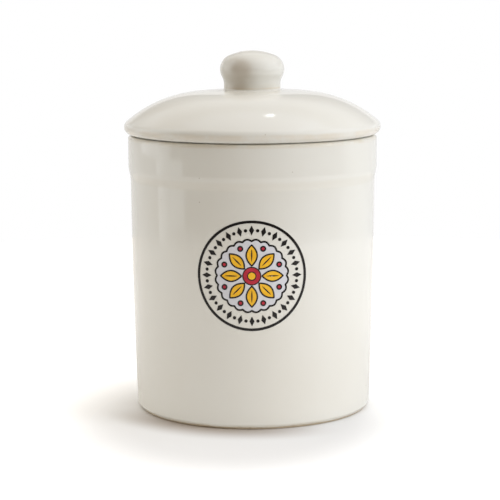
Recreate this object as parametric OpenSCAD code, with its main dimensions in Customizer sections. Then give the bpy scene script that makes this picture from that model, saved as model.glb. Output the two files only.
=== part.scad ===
// Sourdough starter crock: a glazed stoneware jar with a domed lid that lifts off.
// Millimetres, +Z up, origin on the table at the centre of the foot.
// Every piece is turned, so each is an outline of points [radius, height].

/* [Crock] */
// Height of the crock, from the table to the top of its rim
crock_h = 146; // [110:1:200]
// Outer radius of the collar, the straight band under the rim
collar_r = 66; // [58:0.5:80]
// Height of the collar, rim included
collar_h = 17.5; // [12:0.5:30]
// How far the collar stands out from the wall below it
collar_step = 1.15; // [0.4:0.05:3]
// Height of the slope between the wall and the collar
slope_h = 5; // [4:0.5:10]
// How much narrower the wall is at the foot than at the collar
wall_taper = 2.4; // [0:0.1:5]
// How far the wall swells out half way up
wall_swell = 0.4; // [0:0.1:1.5]
// Thickness of the wall at the foot
wall_t = 6.5; // [4:0.25:9]
// Thickness of the floor
floor_t = 7; // [4:0.25:12]
// Radius inside where the floor turns up into the wall
floor_fillet = 10; // [2:0.5:20]

/* [Rim and mouth] */
// Thickness of the wall at the rim
rim_t = 6.5; // [5.5:0.25:9]
// Radius on both edges of the rim
rim_round = 2; // [0.5:0.25:2.25]
// Depth of the straight stretch inside the mouth
mouth_h = 16; // [12:0.5:30]

/* [Foot] */
// Width of the unglazed ring that the crock stands on
foot_w = 7; // [4:0.25:15]
// Height of the bevel above the foot ring
bevel_h = 2.6; // [2:0.1:6]
// How far the bevel draws in from the wall
bevel_w = 2.1; // [0.5:0.1:4]
// Depth of the hollow inside the foot ring
foot_hollow = 2.5; // [1.75:0.25:5]
// Radius on the edges of the foot ring
foot_round = 0.8; // [0.2:0.1:0.8]

/* [Lid] */
// How far the lid's rim stands out past the collar
lid_overhang = 2; // [1.5:0.25:5]
// Radius of the lid's rounded rim
lid_rim_r = 3.8; // [2:0.1:4.4]
// Slope of the dome where it leaves the rim, in degrees
dome_slope = 40.5; // [34:0.5:48]
// Radius of the dome's shoulder
shoulder_r = 65; // [45:1:72]
// Radius of the dome's crown
crown_r = 350; // [150:5:600]
// Thickness of the dome
lid_t = 6; // [4:0.25:8]
// Height of the open seam between the lid's rim and the crock's rim
seam_h = 0.4; // [0.2:0.1:1]
// How far the open seam reaches in from the collar, to the ring that the lid rests on
seam_depth = 2.9; // [2.4:0.1:3.4]

/* [Throat] */
// Depth of the throat, the ring under the lid that keeps it centred in the mouth
throat_h = 9; // [6:0.5:11]
// Thickness of the throat
throat_t = 5; // [4.25:0.25:8]
// Clearance all round between the throat and the mouth
throat_gap = 1.2; // [0.8:0.1:2]
// Radius on the lower edges of the throat
throat_round = 2; // [0.5:0.25:2]
// Radius inside where the throat turns in under the dome
hollow_round = 6; // [3:0.5:12]

/* [Knob] */
// Widest radius of the knob
knob_r = 17; // [15.5:0.5:22]
// Radius of the knob's neck, where it stands on the lid
neck_r = 15; // [9:0.5:16.5]
// Radius of the knob's rounded side
cheek_r = 8; // [4:0.5:12]
// Height of the straight neck above the lid
neck_h = 2.2; // [0.5:0.1:5]
// Radius of the hollow curve between the neck and the side
waist_r = 8.5; // [4:0.5:20]
// Radius of the knob's top
knob_crown_r = 32; // [23:0.5:60]
// Radius where the lid turns up to the knob's neck
neck_fillet = 0.8; // [0.4:0.1:2]

/* [Hidden] */
$fn = 160;
// Most that a curve's chord may lie inside the curve
chord_error = 0.01;
// Softening where the wall meets the slope under the collar, and the slope the collar
slope_round = 14;
// Softening where the wall meets the bevel above the foot
bevel_round = 1.2;
// Softening where the straight mouth meets the sloping wall inside
mouth_round = 40;
// Stretches that make up the swelling wall
wall_parts = 12;

// Radii of the wall outside, and of the foot ring
wall_top_r = collar_r - collar_step;
wall_foot_r = wall_top_r - wall_taper;
foot_r = wall_foot_r - bevel_w;
foot_inner_r = foot_r - foot_w;
// Radii of the hollow inside
mouth_r = collar_r - rim_t;
floor_r = wall_foot_r - wall_t;
// Heights up the crock
floor_z = foot_hollow + floor_t;
slope_top_z = crock_h - collar_h;
slope_z = slope_top_z - slope_h;
mouth_z = crock_h - mouth_h;

// The throat hangs inside the mouth, and the seat ring round it rests on the rim
throat_r = mouth_r - throat_gap;
throat_inner_r = throat_r - throat_t;
throat_z = crock_h - throat_h;
seat_r = collar_r - seam_depth;
// Softening where the throat meets the seat ring, clear of the rim's inner edge
root_round = throat_gap / 2;

// The dome is three arcs that run into each other: the rim, the shoulder and the crown
rim_c = [collar_r + lid_overhang - lid_rim_r, crock_h + seam_h + lid_rim_r];
shoulder_c = rim_c - (shoulder_r - lid_rim_r) * [sin(dome_slope), cos(dome_slope)];
crown_c = shoulder_c - [shoulder_c.x, side(crown_r - shoulder_r, shoulder_c.x)];

// The boss that the knob stands on: its fillet touches the crown and the neck's radius
boss_c = crown_c + [neck_r + neck_fillet, side(crown_r + neck_fillet, neck_r + neck_fillet)];

// The knob is three arcs too: the waist over the neck, the cheek and the knob's top
waist_c = [neck_r + waist_r, boss_c.y + neck_h];
cheek_c = [knob_r - cheek_r, waist_c.y + side(cheek_r + waist_r, waist_c.x - knob_r + cheek_r)];
knob_crown_c = [0, cheek_c.y - side(knob_crown_r - cheek_r, cheek_c.x)];

// Third side of a right triangle, from its longest side and one other
function side(long, other) = sqrt(long ^ 2 - other ^ 2);

// Direction of a vector in degrees, and a vector of length 1
function heading(v) = atan2(v.y, v.x);
function unit(v) = v / norm(v);

// Points of an arc round c from one direction to another, close enough for chord_error
function arc(c, r, from, to) =
    let (parts = max(2, ceil(abs(to - from) / (2 * acos(1 - chord_error / r)))))
    [for (i = [0:parts]) let (a = from + (to - from) * i / parts) c + r * [cos(a), sin(a)]];

// An outline with each point once, where one arc ends at the start of the next
function once(points) =
    [for (i = [0:len(points) - 1]) if (i == 0 || norm(points[i] - points[i - 1]) > 0.001) points[i]];

// Points that round the corner b between its neighbours a and c
function corner(a, b, c, r) =
    let (
        u = unit(a - b),
        v = unit(c - b),
        half = acos(u * v) / 2,
        centre = b + unit(u + v) * r / sin(half),
        start = b + u * r / tan(half) - centre,
        end = b + v * r / tan(half) - centre,
        turn = (180 - 2 * half) * sign(cross(start, end))
    )
    arc(centre, r, heading(start), heading(start) + turn);

// An outline from corners [radius, height, rounding], where a rounding of 0 stays sharp
function rounded(corners) =
    let (n = len(corners), flat = [for (p = corners) [p[0], p[1]]])
    [for (i = [0:n - 1]) each corners[i][2] == 0
        ? [flat[i]]
        : corner(flat[(i + n - 1) % n], flat[i], flat[(i + 1) % n], corners[i][2])];

// The wall outside, from the bevel to the collar: a straight taper and a shallow swell
function wall() = [for (i = [1:wall_parts - 1])
    let (u = i / wall_parts)
    [wall_foot_r + wall_taper * u + 4 * wall_swell * u * (1 - u), bevel_h + (slope_z - bevel_h) * u, 0]];

// The dome's arcs at a depth under its face: an edge arc, the shoulder, then the crown
function dome(edge_c, edge_r, from, depth, to) =
    let (lean = heading(edge_c - shoulder_c), top = heading(shoulder_c - crown_c))
    concat(
        arc(edge_c, edge_r, from, lean),
        arc(shoulder_c, shoulder_r - depth, lean, top),
        arc(crown_c, crown_r - depth, top, to)
    );

// Turns an outline round the axis
module turned(outline) {
    rotate_extrude() polygon(outline);
}

// The jar: foot ring, tapering wall, collar, rounded rim and filleted floor
module crock() {
    foot = [
        [0, foot_hollow, 0],
        [foot_inner_r, foot_hollow, foot_round],
        [foot_inner_r, 0, foot_round],
        [foot_r, 0, foot_round],
        [wall_foot_r, bevel_h, bevel_round]
    ];
    collar = [
        [wall_top_r, slope_z, slope_round],
        [collar_r, slope_top_z, slope_round],
        [collar_r, crock_h, rim_round]
    ];
    inside = [
        [mouth_r, crock_h, rim_round],
        [mouth_r, mouth_z, mouth_round],
        [floor_r, floor_z, floor_fillet],
        [0, floor_z, 0]
    ];
    color("#e6e1d6") turned(rounded(concat(foot, wall(), collar, inside)));
}

// The lid: the dome with its rounded rim, the seat ring, the throat and the hollow under the dome
module lid() {
    outside = dome(rim_c, lid_rim_r, -90, 0, heading(boss_c - crown_c));
    boss = arc(boss_c, neck_fillet, heading(crown_c - boss_c), -180);
    hollow_r = throat_inner_r - hollow_round;
    hollow_rise = side(shoulder_r - lid_t - hollow_round, hollow_r - shoulder_c.x);
    hollow = dome([hollow_r, shoulder_c.y + hollow_rise], hollow_round, 0, lid_t, 90);
    seat = rounded([
        [throat_inner_r, crock_h, 0],
        [throat_inner_r, throat_z, throat_round],
        [throat_r, throat_z, throat_round],
        [throat_r, crock_h, root_round],
        [seat_r, crock_h, 0],
        [seat_r + seam_h, crock_h + seam_h, 0]
    ]);
    face = once(concat(seat, outside, boss, [[0, boss_c.y]]));
    under = [for (i = [len(hollow) - 1:-1:0]) hollow[i]];
    color("#ebe8df") turned(once(concat(face, under)));
}

// The knob: a flattened ball on a short neck, luted to the boss on the lid
module knob() {
    waist_top = heading(cheek_c - waist_c);
    waist = arc(waist_c, waist_r, 180, waist_top);
    cheek = arc(cheek_c, cheek_r, waist_top - 180, heading(cheek_c - knob_crown_c));
    crown = arc(knob_crown_c, knob_crown_r, heading(cheek_c - knob_crown_c), 90);
    color("#ede9e0") turned(once(concat([[0, boss_c.y], [neck_r, boss_c.y]], waist, cheek, crown)));
}

crock();
lid();
knob();
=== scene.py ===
import math

import bpy
import numpy as np
from mathutils import Matrix, Vector


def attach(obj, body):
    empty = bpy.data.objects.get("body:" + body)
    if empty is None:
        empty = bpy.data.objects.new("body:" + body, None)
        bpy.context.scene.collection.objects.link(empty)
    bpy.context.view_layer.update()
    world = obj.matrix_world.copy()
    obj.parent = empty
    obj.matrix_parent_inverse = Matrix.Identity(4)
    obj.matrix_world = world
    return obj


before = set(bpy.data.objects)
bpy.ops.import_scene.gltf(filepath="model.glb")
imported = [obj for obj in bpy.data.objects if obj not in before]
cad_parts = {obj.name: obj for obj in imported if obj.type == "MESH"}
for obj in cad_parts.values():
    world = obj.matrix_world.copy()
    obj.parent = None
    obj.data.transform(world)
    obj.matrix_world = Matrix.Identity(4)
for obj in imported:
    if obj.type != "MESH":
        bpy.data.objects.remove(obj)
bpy.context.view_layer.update()  # metres, +Z up, the printed side looks towards -Y
scene = bpy.context.scene
print("packed model loaded:", ", ".join(sorted(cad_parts)))

photoCamera = {
    "distance": 0.98508,  # from the point it aims at
    "aimHeight": 0.083508,
    "pitch": 8.45,  # degrees it looks down
    "sideways": -0.00154,  # the crock stands a little right of the picture's middle
    "roll": -0.25,
    "lens": 132.25,
}


def setCamera(look):
    data = bpy.data.cameras.new("photoCamera")
    data.lens = look["lens"]
    data.clip_start, data.clip_end = 0.05, 20
    camera = bpy.data.objects.new("photoCamera", data)
    scene.collection.objects.link(camera)
    pitch = math.radians(look["pitch"])
    back, up = look["distance"] * math.cos(pitch), look["distance"] * math.sin(pitch)
    camera.location = (look["sideways"], -back, look["aimHeight"] + up)
    roll = Matrix.Rotation(math.radians(look["roll"]), 3, "Z")
    camera.rotation_mode = "QUATERNION"
    camera.rotation_quaternion = (Matrix.Rotation(math.pi / 2 - pitch, 3, "X") @ roll).to_quaternion()
    scene.camera = camera


setCamera(photoCamera)
scene.view_settings.view_transform = "Standard"
print("camera set")


# A number running through a material: maths on it adds Math nodes
class Wire:
    def __init__(self, mix, socket):
        self.mix, self.socket = mix, socket

    def maths(self, operation, *values):
        return self.mix.add("ShaderNodeMath", {"operation": operation}, dict(enumerate(values)))

    def __add__(self, other):
        return self.maths("ADD", self, other)

    def __sub__(self, other):
        return self.maths("SUBTRACT", self, other)

    def __rsub__(self, other):
        return self.maths("SUBTRACT", other, self)

    def __mul__(self, other):
        return self.maths("MULTIPLY", self, other)

    def __pow__(self, other):
        return self.maths("POWER", self, other)

    __radd__ = __add__
    __rmul__ = __mul__

    def larger(self, other):
        return self.maths("MAXIMUM", self, other)

    def rise(self, start, end):  # 0 before start, 1 after end and smooth between
        values = {"Value": self, "From Min": start, "From Max": end}
        return self.mix.add("ShaderNodeMapRange", {"interpolation_type": "SMOOTHSTEP"}, values, "Result")


# The nodes of one material or world, and the few ways that this file adds to them
class Mixture:
    def __init__(self, owner):
        owner.use_nodes = True
        self.owner, self.tree = owner, owner.node_tree
        self.tree.nodes.clear()

    # A node of any type: its settings first, then the values or wires of its sockets
    def add(self, kind, settings=None, values=None, out=0):
        node = self.tree.nodes.new(kind)
        for key, value in (settings or {}).items():
            setattr(node, key, value)
        for key, value in (values or {}).items():
            if isinstance(value, Wire):
                self.tree.links.new(value.socket, node.inputs[key])
            elif value is not None:
                node.inputs[key].default_value = value
        return Wire(self, node.outputs[out]) if node.outputs else None

    def place(self):
        return self.add("ShaderNodeTexCoord", out="Object")

    def parts(self, vector):
        x = self.add("ShaderNodeSeparateXYZ", values={0: vector})
        return [Wire(self, socket) for socket in x.socket.node.outputs]

    def noise(self, place, scale, detail=2.0, roughness=0.5):
        values = {"Vector": place, "Scale": scale, "Detail": detail, "Roughness": roughness}
        return self.add("ShaderNodeTexNoise", values=values)

    # Round spots in random cells: 1 at their middle, in the given share of the cells
    def spots(self, place, scale, radius, share):
        values = {"Vector": place, "Scale": scale}
        away = self.add("ShaderNodeTexVoronoi", {"feature": "F1"}, values, "Distance")
        cell = Wire(self, away.socket.node.outputs["Color"])
        chosen = self.parts(cell)[0].rise(1 - share, 1 - share + 0.01)
        return (1 - away.rise(radius * 0.5, radius)) * chosen

    def blend(self, share, low, high):
        values = {0: share}
        for key, colour in ((6, low), (7, high)):
            values[key] = colour if isinstance(colour, Wire) else (*colour, 1)
        return self.add("ShaderNodeMix", {"data_type": "RGBA"}, values, 2)

    def bump(self, height, below=None):  # height in millimetres
        values = {"Strength": 1.0, "Distance": 0.001, "Height": height, "Normal": below}
        return self.add("ShaderNodeBump", values=values)

    def finish(self, colour, roughness, normal, ior=1.5):
        values = {"Base Color": colour, "Roughness": roughness, "Normal": normal, "IOR": ior}
        body = self.add("ShaderNodeBsdfPrincipled", values=values)
        self.add("ShaderNodeOutputMaterial", values={"Surface": body})
        return self.owner


glazeLook = {
    "cream": (0.805, 0.797, 0.748),
    "warm": (0.785, 0.769, 0.710),  # where the glaze lies a little thicker
    "pooled": (0.700, 0.645, 0.530),  # where it gathers in a hollow
    "thin": (0.720, 0.620, 0.470),  # where it has drawn back from an edge
    "paintedShade": (0.460, 0.370, 0.270),  # painted shade: a darker, warmer glaze colour that stands for shade on the knob
    "speck": (0.330, 0.250, 0.170),
    "clay": (0.680, 0.590, 0.450),
    "darkClay": (0.520, 0.420, 0.290),
    "gloss": 0.055,
    "smudge": 0.045,  # roughness that handling adds in patches
    "scuff": 0.220,  # and that the lid adds where it sits
    "wave": 0.030,  # millimetres that the face rises and falls, slowly
    "peel": 0.0012,  # and finely
    "lip": 0.200,  # thickness of the glaze where it ends
}
# Each glazed piece: where it is left bare; the edges where the glaze is thin and the
# hollows where it gathers, as radius, height and reach in metres; and the patches of
# painted shade, darker glaze colour for the shade on the knob's left front, as x, y, z,
# reach and strength
glazedPieces = {
    "crock": {
        "bareBelow": 0.0011,
        "bareFrom": 0.0528,
        "edges": [(0.0656, 0.1456, 0.0022), (0.0599, 0.1456, 0.0022), (0.0611, 0.0012, 0.0020)],
        "hollows": [(0.0652, 0.1246, 0.0030)],
        "scuffs": [(0.0610, 0.1462, 0.0020)],
        "paintedShade": [],
    },
    "lid": {
        "bareBelow": 0.1384,
        "bareFrom": 0.0,
        "edges": [(0.0676, 0.1490, 0.0024)],
        "hollows": [(0.0158, 0.1700, 0.0026)],
        "scuffs": [(0.0610, 0.1460, 0.0020)],
        "paintedShade": [],
    },
    "knob": {
        "bareBelow": None,
        "edges": [(0.0152, 0.1706, 0.0008)],
        "hollows": [(0.0152, 0.1712, 0.0026)],
        "scuffs": [(0.0, 0.1900, 0.0120)],
        # patches of painted shade on the knob's left front
        "paintedShade": [
            (-0.0085, -0.0140, 0.1775, 0.0130, 0.30),
            (-0.0062, -0.0158, 0.1806, 0.0075, 0.30),
            (-0.0075, -0.0126, 0.1714, 0.0070, 0.26),
        ],
    },
}


# Nearness to circles round the turning axis: 1 on one of them, 0 past its reach
def nearCircles(mix, radius, height, circles):
    total = None
    for circleRadius, circleHeight, reach in circles:
        across, up = radius - circleRadius, height - circleHeight
        near = 1 - (across * across + up * up).rise(0, reach * reach)
        total = near if total is None else total.larger(near)
    return total


def glaze(name, piece, look=glazeLook):
    mix = Mixture(bpy.data.materials.new(name))
    place = mix.place()
    x, y, z = mix.parts(place)
    radius = (x * x + y * y) ** 0.5
    drift = mix.noise(place, 17, 3).rise(0.32, 0.70)
    mottle = mix.noise(place, 95, 4, 0.6)
    fine = mix.noise(place, 420, 3, 0.6)
    specks = mix.spots(place, 150, 0.055, 0.10)
    pinholes = mix.spots(place, 105, 0.030, 0.10)
    broken = mottle.rise(0.25, 0.62)

    colour = mix.blend(drift * 0.75 + mottle * 0.25, look["cream"], look["warm"])
    pools = nearCircles(mix, radius, z, piece["hollows"])
    colour = mix.blend(pools * 0.20, colour, look["pooled"])
    edges = nearCircles(mix, radius, z, piece["edges"])
    colour = mix.blend(edges * broken * 0.45, colour, look["thin"])
    colour = mix.blend(specks * 0.55, colour, look["speck"])
    # painted shade: in each patch the colour is blended towards a darker warm brown, for the shade on the knob's left
    # front
    for patchX, patchY, patchZ, reach, strength in piece["paintedShade"]:
        across, deep, up = x - patchX, y - patchY, z - patchZ
        near = 1 - (across * across + deep * deep + up * up).rise(0, reach * reach)
        colour = mix.blend(near * strength, colour, look["paintedShade"])

    scuffs = nearCircles(mix, radius, z, piece["scuffs"]) * mottle.rise(0.40, 0.62)
    smudges = mix.noise(place, 42, 3, 0.6).rise(0.42, 0.72)
    roughness = look["gloss"] + smudges * look["smudge"] + scuffs * look["scuff"]
    height = mix.noise(place, 26, 1) * look["wave"] + fine * look["peel"] - pinholes * 0.03

    if piece["bareBelow"] is not None:
        wobble = (mix.noise(place, 60, 2) - 0.5) * 0.0013
        bare = (1 - (z + wobble).rise(piece["bareBelow"] - 0.00012, piece["bareBelow"] + 0.00012))
        bare = bare * radius.rise(piece["bareFrom"] - 0.0002, piece["bareFrom"] + 0.0002)
        grain = mix.noise(place, 1500, 3, 0.7)
        clay = mix.blend(grain.rise(0.3, 0.7), look["clay"], look["darkClay"])
        clay = mix.blend(mix.spots(place, 600, 0.25, 0.25), clay, look["speck"])
        colour = mix.blend(bare, colour, clay)
        roughness = roughness + bare * (0.80 - roughness)
        height = height - bare * look["lip"] + bare * grain * 0.05
    return mix.finish(colour, roughness, mix.bump(height))


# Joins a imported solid's loose triangles and shades it smooth, but for its real edges
def smoothTurned():
    group = bpy.data.node_groups.new("smoothTurned", "GeometryNodeTree")
    for way in ("INPUT", "OUTPUT"):
        group.interface.new_socket("Geometry", in_out=way, socket_type="NodeSocketGeometry")
    add, join = group.nodes.new, group.links.new
    start, end = add("NodeGroupInput"), add("NodeGroupOutput")
    bare, merged = add("GeometryNodeRemoveAttribute"), add("GeometryNodeMergeByDistance")
    faces, edges = add("GeometryNodeSetShadeSmooth"), add("GeometryNodeSetShadeSmooth")
    angle, soft = add("GeometryNodeInputMeshEdgeAngle"), add("ShaderNodeMath")
    bare.inputs["Name"].default_value = "custom_normal"
    merged.inputs["Distance"].default_value = 1e-6
    faces.domain, edges.domain = "FACE", "EDGE"
    soft.operation = "LESS_THAN"
    soft.inputs[1].default_value = math.radians(25)
    for first, second in ((start, bare), (bare, merged), (merged, faces), (faces, edges), (edges, end)):
        join(first.outputs[0], second.inputs[0])
    join(angle.outputs["Unsigned Angle"], soft.inputs[0])
    join(soft.outputs[0], edges.inputs["Shade Smooth"])
    return group


smoothing = smoothTurned()
for name, piece in glazedPieces.items():
    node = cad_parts[name]
    node.modifiers.new("smoothTurned", "NODES").node_group = smoothing
    node.material_slots[0].material = glaze(name + "Glaze", piece)
print("crock, lid and knob glazed")

# The wall that the print lies on, as in the CAD source: from its foot it tapers out and
# swells a little half way up
wallShape = {"footRadius": 0.06245, "foot": 0.0026, "top": 0.1235, "taper": 0.0024, "swell": 0.0004}
rosette = {
    "across": -0.0007,  # metres along the wall from its middle, to the right
    "height": 0.0798,
    "thickness": 0.13,  # millimetres from here on; most of it lies in the wall
    "outerRing": (27.5, 1.35),  # radius and line width
    "border": 23.2,  # radius of the band of lozenges and dots
    "lozenges": 24,
    "lozengeSize": (2.50, 1.30),
    "dotRadius": 0.85,
    "scallops": 24,
    "scallopRing": (17.7, 0.95),
    "scallopDepth": 0.95,
    "petals": 8,
    "petalRadius": 10.5,
    "petalSize": (5.3, 2.75),
    "veinSize": (3.4, 0.34),
    "budRadius": 15.0,
    "budSize": 1.15,
    "outline": 0.78,
    "centreRings": (4.8, 4.2, 2.35, 1.8),
}
printLifts = {"field": 0.060, "line": 0.090, "colour": 0.120, "over": 0.145, "top": 0.170}


# Radius of the wall at a height: foot + taper u + 4 swell u (1 - u), u the share of its height
def wallRadius(height, shape=wallShape):
    u = (height - shape["foot"]) / (shape["top"] - shape["foot"])
    return shape["footRadius"] + shape["taper"] * u + 4 * shape["swell"] * u * (1 - u)


# Bends flat points onto the wall: across becomes an arc round the axis, up stays a height,
# and the lift is how far a point stands out from the glaze
def ontoWall(flat, lift):
    height = rosette["height"] + flat[..., 1] / 1000
    radius = wallRadius(height) + lift / 1000
    angle = (rosette["across"] + flat[..., 0] / 1000) / wallRadius(rosette["height"])
    return np.stack([radius * np.sin(angle), -radius * np.cos(angle), height], axis=-1)


# Quads of a grid of points, closed in its second direction and, if asked, in its first
def gridFaces(rows, columns, closed):
    i, j = np.meshgrid(np.arange(rows if closed else rows - 1), np.arange(columns), indexing="ij")
    below, right = (i + 1) % rows, (j + 1) % columns
    corners = [i * columns + j, i * columns + right, below * columns + right, below * columns + j]
    return np.stack(corners, axis=-1).reshape(-1, 4)


# A closed line: four corners of a thin section, carried along a closed path, with the
# sides set half the width off the path along its normal
def inkLine(path, width, lift):
    along = np.roll(path, -1, axis=0) - np.roll(path, 1, axis=0)
    along /= np.linalg.norm(along, axis=1, keepdims=True)
    off = np.stack([-along[:, 1], along[:, 0]], axis=1) * width / 2
    top, bottom = lift, lift - rosette["thickness"]
    rows = [ontoWall(path + side * off, depth)
            for side, depth in ((-1, top), (1, top), (1, bottom), (-1, bottom))]
    return np.concatenate(rows), gridFaces(4, len(path), True).tolist()


# A filled shape: rings that shrink from its outline to its middle, on the front and again
# on the back, with a pole at each end
def inkShape(outline, lift, rings=2):
    middle = outline.mean(axis=0)
    scale = np.linspace(0, 1, rings + 1)[1:, None, None]
    spread = middle + (outline - middle) * scale
    count = len(outline)
    front = ontoWall(spread, lift)
    back = ontoWall(spread[::-1], lift - rosette["thickness"])
    poles = ontoWall(np.stack([middle, middle]), np.array([lift, lift - rosette["thickness"]]))
    points = np.concatenate([front.reshape(-1, 3), back.reshape(-1, 3), poles])
    quads = gridFaces(2 * rings, count, False).tolist()
    last = 2 * rings * count
    j = np.arange(count)
    following = (j + 1) % count
    fans = np.concatenate([
        np.stack([np.full(count, last), following, j], axis=1),
        np.stack([np.full(count, last + 1), last - count + j, last - count + following], axis=1),
    ])
    return points, quads + fans.tolist()


# A circle of points round a place given by radius and turn from the top of the print
def circle(radius, count=96, away=0.0, turn=0.0):
    angle = np.arange(count) * 2 * np.pi / count
    ring = radius * np.stack([np.sin(angle), np.cos(angle)], axis=1)
    return ring + away * np.array([np.sin(turn), np.cos(turn)])


# Turns a shape whose first axis points outwards, and sets it at a radius in that direction
def setRound(shape, away, turn):
    outward, beside = np.array([np.sin(turn), np.cos(turn)]), np.array([np.cos(turn), -np.sin(turn)])
    return (shape[:, :1] + away) * outward + shape[:, 1:] * beside


# A pointed leaf: along is half the length times cos a, beside half the width times sin a |sin a|
def leaf(halfLength, halfWidth, count=48):
    angle = np.arange(count) * 2 * np.pi / count
    return np.stack([halfLength * np.cos(angle), halfWidth * np.sin(angle) * abs(np.sin(angle))], axis=1)


# A lozenge: four straight sides between its tips
def lozenge(halfLength, halfWidth, count=16):
    share = np.arange(count) * 4 / count
    tips = np.array([0, 1, 2, 3, 4])
    along = np.interp(share, tips, [1, 0, -1, 0, 1]) * halfLength
    return np.stack([along, np.interp(share, tips, [0, 1, 0, -1, 0]) * halfWidth], axis=1)


# A ring of scallops: the radius rises with |sin| from each cusp to the next
def scallopRing(radius, depth, count, points=480):
    angle = np.arange(points) * 2 * np.pi / points
    out = radius + depth * abs(np.sin(angle * count / 2))
    return out[:, None] * np.stack([np.sin(angle), np.cos(angle)], axis=1)


# One mesh from many closed shapes, turned face outwards where its volume comes out negative
def inkPiece(name, shapes, material):
    points, faces, start = [], [], 0
    for shapePoints, shapeFaces in shapes:
        corners = np.array([shapePoints[list(face[:3])] for face in shapeFaces])
        quads = np.array([face for face in shapeFaces if len(face) == 4])
        rest = shapePoints[quads[:, [0, 2, 3]]]
        whole = np.concatenate([corners, rest]) - shapePoints.mean(axis=0)
        inward = np.einsum("ij,ij->", whole[:, 0], np.cross(whole[:, 1], whole[:, 2])) < 0
        faces += [[start + v for v in (face[::-1] if inward else face)] for face in shapeFaces]
        points.append(shapePoints)
        start += len(shapePoints)
    mesh = bpy.data.meshes.new(name)
    mesh.from_pydata(np.concatenate(points).tolist(), [], faces)
    mesh.materials.append(material)
    piece = bpy.data.objects.new(name, mesh)
    scene.collection.objects.link(piece)
    piece.modifiers.new("smoothTurned", "NODES").node_group = smoothing
    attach(piece, "crock")


inkLook = {
    "dark": ((0.007, 0.006, 0.006), (0.018, 0.015, 0.014)),
    "field": ((0.735, 0.745, 0.800), (0.700, 0.708, 0.755)),
    "gold": ((0.980, 0.560, 0.030), (0.930, 0.490, 0.015)),
    "red": ((0.560, 0.024, 0.050), (0.450, 0.016, 0.036)),
    "gloss": 0.10,
    "ior": 1.32,
    "worn": (0.700, 0.660, 0.580),  # the glaze under it, where a speck has gone
}


# Fired-on colour: mottled, a little rougher in patches, with tiny specks worn through
def ink(name, tone, look=inkLook):
    mix = Mixture(bpy.data.materials.new(name))
    place = mix.place()
    cloudy = mix.noise(place, 260, 4, 0.65)
    fine = mix.noise(place, 1400, 2, 0.6)
    colour = mix.blend(cloudy.rise(0.35, 0.68), *look[tone])
    worn = mix.spots(place, 420, 0.16, 0.07)
    colour = mix.blend(worn * 0.6, colour, look["worn"])
    roughness = look["gloss"] + mix.noise(place, 60, 3).rise(0.4, 0.7) * 0.08 + worn * 0.1
    height = mix.noise(place, 26, 1) * glazeLook["wave"] + fine * 0.002 - worn * 0.01
    return mix.finish(colour, roughness, mix.bump(height), look["ior"])


def printRosette(look=rosette, lifts=printLifts):
    turns = lambda count, first=0.0: (np.arange(count) + first) * 2 * np.pi / count
    scallop = scallopRing(look["scallopRing"][0], look["scallopDepth"], look["scallops"])
    outer, second, third, inner = look["centreRings"]
    petals = [setRound(leaf(*look["petalSize"]), look["petalRadius"], t) for t in turns(look["petals"])]
    veins = [setRound(leaf(*look["veinSize"], 24), look["petalRadius"], t) for t in turns(look["petals"])]
    buds = turns(look["petals"], 0.5)

    lines = [inkLine(circle(look["outerRing"][0], 240), look["outerRing"][1], lifts["line"])]
    lines.append(inkLine(scallop, look["scallopRing"][1], lifts["line"]))
    for turn in turns(look["lozenges"]):
        lines.append(inkShape(setRound(lozenge(*look["lozengeSize"]), look["border"], turn), lifts["line"]))
    for turn in turns(look["lozenges"], 0.5):
        lines.append(inkShape(circle(look["dotRadius"], 20, look["border"], turn), lifts["line"], 1))
    lines += [inkLine(petal, look["outline"], lifts["over"]) for petal in petals]
    lines += [inkShape(vein, lifts["over"]) for vein in veins]
    lines += [inkLine(circle(look["budSize"], 32, look["budRadius"], t), look["outline"], lifts["over"]) for t in buds]
    lines.append(inkShape(circle(outer), lifts["line"], 4))
    lines.append(inkShape(circle(third, 64), lifts["over"], 2))
    gold = [inkShape(petal, lifts["colour"], 3) for petal in petals]
    gold.append(inkShape(circle(inner, 64), lifts["top"], 2))
    red = [inkShape(circle(look["budSize"], 32, look["budRadius"], t), lifts["colour"], 2) for t in buds]
    red.append(inkShape(circle(second), lifts["colour"], 4))

    inkPiece("rosetteField", [inkShape(scallop, lifts["field"], 14)], ink("paleInk", "field"))
    inkPiece("rosetteLines", lines, ink("darkInk", "dark"))
    inkPiece("rosetteGold", gold, ink("goldInk", "gold"))
    inkPiece("rosetteRed", red, ink("redInk", "red"))


printRosette()
print("rosette printed on the wall")

studio = {
    "paperRadius": 0.65,
    "paperColour": (0.840, 0.847, 0.855),
    "paperGlow": 0.45,  # lifts the paper to white, away from the crock's own shadow
    "shadowMiddle": (-0.010, -0.040),  # the shadow falls to the left and in front
    "shadowSize": (0.085, 0.115),
    "shadowEdge": (0.62, 1.30),  # shares of that size over which it fades
    "footShade": 0.72,  # how dark the shadow painted into the paper's colour is against the foot
    "footShadeColour": (0.235, 0.155, 0.085),
    "footShadeSide": -22,  # degrees from the front at which it is darkest, to the right
    "footShadeReach": (0.0595, 0.0860),  # radii over which it fades
    "glazeGlow": 0.25,  # the same, as the glaze sees it
    "ceilingLevel": 0.84,
    "corners": (0.10, 0.69, 0.98, 0.10),  # front left, front right, back left, back right
    "roomColour": (1.0, 0.845, 0.655),
    "ceilingColour": (1.0, 0.885, 0.735),
    "backdropLevel": 0.86,  # white paper behind the crock, seen in the glaze
    "backdropTop": 13,  # degrees above the table
    "wallLevel": 0.40,
    "wallTop": 45,
}
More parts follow.
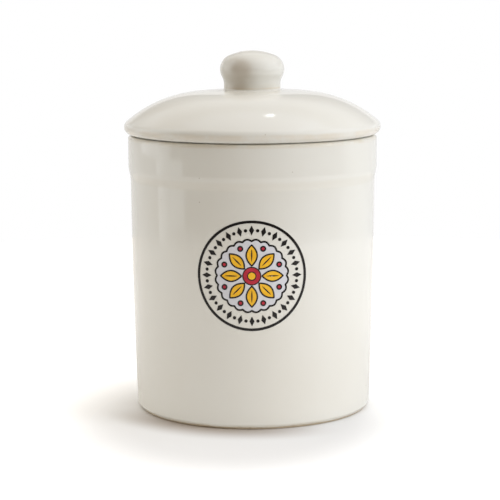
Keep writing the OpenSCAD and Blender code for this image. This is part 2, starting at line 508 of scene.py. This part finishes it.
# Soft boxes: azimuth from the camera's side, to the right; elevation; distance; width; height;
# radiance; colour
lamps = {
    "key": (67, 24, 1.1, 0.35, 0.35, 7.5, (0.93, 1.0, 1.09)),
    "leftHigh": (-92, 42, 1.0, 0.60, 0.50, 0.66, (0.84, 1.0, 1.20)),
    "rightSide": (80, 25, 1.0, 1.00, 0.70, 0.62, (0.88, 1.0, 1.20)),
    "rightHigh": (80, 58, 1.0, 0.90, 0.50, 0.50, (0.85, 1.0, 1.20)),
    "rightFront": (35, 28, 1.1, 0.60, 0.60, 0.47, (0.90, 1.0, 1.10)),
    "rightLow": (62, 12, 0.9, 0.45, 0.24, 0.78, (0.92, 1.0, 1.10)),
    "window": (75, 31, 1.1, 0.20, 0.20, 2.60, (0.95, 1.0, 1.08)),
    "frontHigh": (45, 60, 1.1, 0.70, 0.50, 0.27, (0.88, 1.0, 1.15)),
    "backLeft": (-135, 25, 1.1, 0.70, 0.60, 0.17, (0.85, 1.0, 1.20)),
    "backHigh": (180, 58, 1.1, 1.70, 1.00, 0.20, (0.92, 1.0, 1.08)),
    "top": (0, 90, 1.1, 1.10, 1.10, 0.28, (0.85, 1.0, 1.30)),
    "bulb": (165, 67, 1.2, 0.07, 0.10, 4.5, (1.0, 1.0, 1.0)),
}
# Lamps that light the pieces but make no highlight on the glaze
unmirrored = ("key",)
# White panels that stand on the table at the left: middle, width, height, radiance, colour
panels = {
    "leftCard": ((-0.65, -0.234, 0.045), 0.167, 0.09, 1.20, (0.94, 1.0, 1.04)),
    "leftPanel": ((-0.65, -0.05, 0.25), 0.20, 0.50, 1.05, (0.94, 1.0, 1.04)),
    "leftFar": ((-0.65, 0.20, 0.295), 0.30, 0.41, 0.80, (0.94, 1.0, 1.04)),
}


def addLamp(name, location, facing, width, height, radiance, colour, mirrored=True):
    data = bpy.data.lights.new(name, "AREA")
    data.shape, data.size, data.size_y = "ELLIPSE" if width < 0.1 else "RECTANGLE", width, height
    data.energy = radiance * math.pi * width * height
    data.color = colour
    lamp = bpy.data.objects.new(name, data)
    scene.collection.objects.link(lamp)
    lamp.location = location
    lamp.rotation_mode = "QUATERNION"
    lamp.rotation_quaternion = facing.to_track_quat("Z", "Y")
    lamp.visible_camera, lamp.visible_glossy = False, mirrored


def lightStudio(aim=Vector((0, 0, 0.09))):
    for name, (azimuth, elevation, distance, width, height, radiance, colour) in lamps.items():
        a, e = math.radians(azimuth), math.radians(elevation)
        out = Vector((math.sin(a) * math.cos(e), -math.cos(a) * math.cos(e), math.sin(e)))
        addLamp(name, aim + out * distance, out, width, height, radiance, colour, name not in unmirrored)
    for name, (location, width, height, radiance, colour) in panels.items():
        addLamp(name, location, Vector((-1, 0, 0)), width, height, radiance, colour)


# Whether the ray is of one of these kinds, which see the white paper and backdrop as white
def whiteRays(mix, kinds=("Is Camera Ray", "Is Glossy Ray", "Is Transmission Ray")):
    path = mix.add("ShaderNodeLightPath")
    found = [Wire(mix, path.socket.node.outputs[kind]) for kind in kinds]
    total = found[0]
    for wire in found[1:]:
        total = total.larger(wire)
    return total


# A round sheet of white paper, rings of points and a pole
def layPaper(look=studio):
    radius = np.linspace(0, look["paperRadius"], 9)[1:, None]
    angle = np.arange(96) * 2 * np.pi / 96
    x, y = radius * np.cos(angle), radius * np.sin(angle)
    points = np.concatenate([np.stack([x, y, 0 * x], axis=-1).reshape(-1, 3), [[0, 0, 0]]])
    j = np.arange(96)
    fan = np.stack([np.full(96, 8 * 96), j, (j + 1) % 96], axis=1)
    mesh = bpy.data.meshes.new("paper")
    mesh.from_pydata(points.tolist(), [], gridFaces(8, 96, False)[:, ::-1].tolist() + fan.tolist())
    paper = bpy.data.objects.new("paper", mesh)
    scene.collection.objects.link(paper)
    mix = Mixture(bpy.data.materials.new("paper"))
    x, y, z = mix.parts(mix.place())
    away = (x * x + y * y) ** 0.5
    # A shadow painted into the paper's colour against the crock's foot, darkest at the front left and seen by the
    # camera alone
    side = math.radians(look["footShadeSide"])
    facing = (x * math.sin(side) - y * math.cos(side) - away * 0.5).rise(0, 0.035)
    shade = facing * (1 - away.rise(*look["footShadeReach"])) * look["footShade"]
    shade = shade * whiteRays(mix, ("Is Camera Ray",))
    colour = mix.blend(shade, look["paperColour"], look["footShadeColour"])
    values = {"Base Color": colour, "Roughness": 1.0, "Specular IOR Level": 0.0}
    matte = mix.add("ShaderNodeBsdfPrincipled", values=values)
    middle, size = look["shadowMiddle"], look["shadowSize"]
    across, along = (x - middle[0]) * (1 / size[0]), (y - middle[1]) * (1 / size[1])
    clear = ((across * across + along * along) ** 0.5).rise(*look["shadowEdge"])
    seen = whiteRays(mix, ("Is Camera Ray", "Is Transmission Ray")) * clear
    mirrored = whiteRays(mix, ("Is Glossy Ray",)) * away.rise(0.10, 0.34)
    strength = seen * look["paperGlow"] + mirrored * look["glazeGlow"]
    glow = mix.add("ShaderNodeEmission", values={"Strength": strength})
    both = mix.add("ShaderNodeAddShader", values={0: matte, 1: glow})
    mix.add("ShaderNodeOutputMaterial", values={"Surface": both})
    mesh.materials.append(mix.owner)


# The room: a dim warm fill for the light, white to the camera, and to the glaze a white
# backdrop behind the crock with a dimmer wall above it
def lightRoom(look=studio):
    scene.world = bpy.data.worlds.new("studioRoom")
    mix = Mixture(scene.world)
    x, y, z = mix.parts(mix.add("ShaderNodeTexCoord", out="Generated"))
    steps = [math.sin(math.radians(look[key])) for key in ("backdropTop", "wallTop")]
    over = z.rise(steps[0] - 0.03, steps[0] + 0.03)
    level = look["backdropLevel"] + over * (look["wallLevel"] - look["backdropLevel"])
    level = level * (1 - z.rise(steps[1] - 0.12, steps[1] + 0.12)) * y.rise(-0.15, 0.20)
    direct = whiteRays(mix, ("Is Camera Ray", "Is Transmission Ray"))
    seen = direct.larger(level * whiteRays(mix, ("Is Glossy Ray",)))
    white = mix.add("ShaderNodeBackground", values={"Color": (1, 1, 1, 1), "Strength": seen})
    frontLeft, frontRight, backLeft, backRight = look["corners"]
    right, behind = x.rise(-0.1, 0.1), y.rise(-0.1, 0.1)
    front = frontLeft + right * (frontRight - frontLeft)
    walls = front + behind * (backLeft + right * (backRight - backLeft) - front)
    ceiling = z.rise(0.55, 0.70)
    above = (walls + ceiling * (look["ceilingLevel"] - walls)) * z.rise(-0.02, 0.02)
    tone = mix.blend(ceiling, look["roomColour"], look["ceilingColour"])
    fill = mix.add("ShaderNodeBackground", values={"Color": tone, "Strength": above})
    sides = mix.add("ShaderNodeMixShader", values={0: whiteRays(mix), 1: fill, 2: white})
    mix.add("ShaderNodeOutputWorld", values={"Surface": sides})


lightStudio()
layPaper()
lightRoom()
print("studio lit")
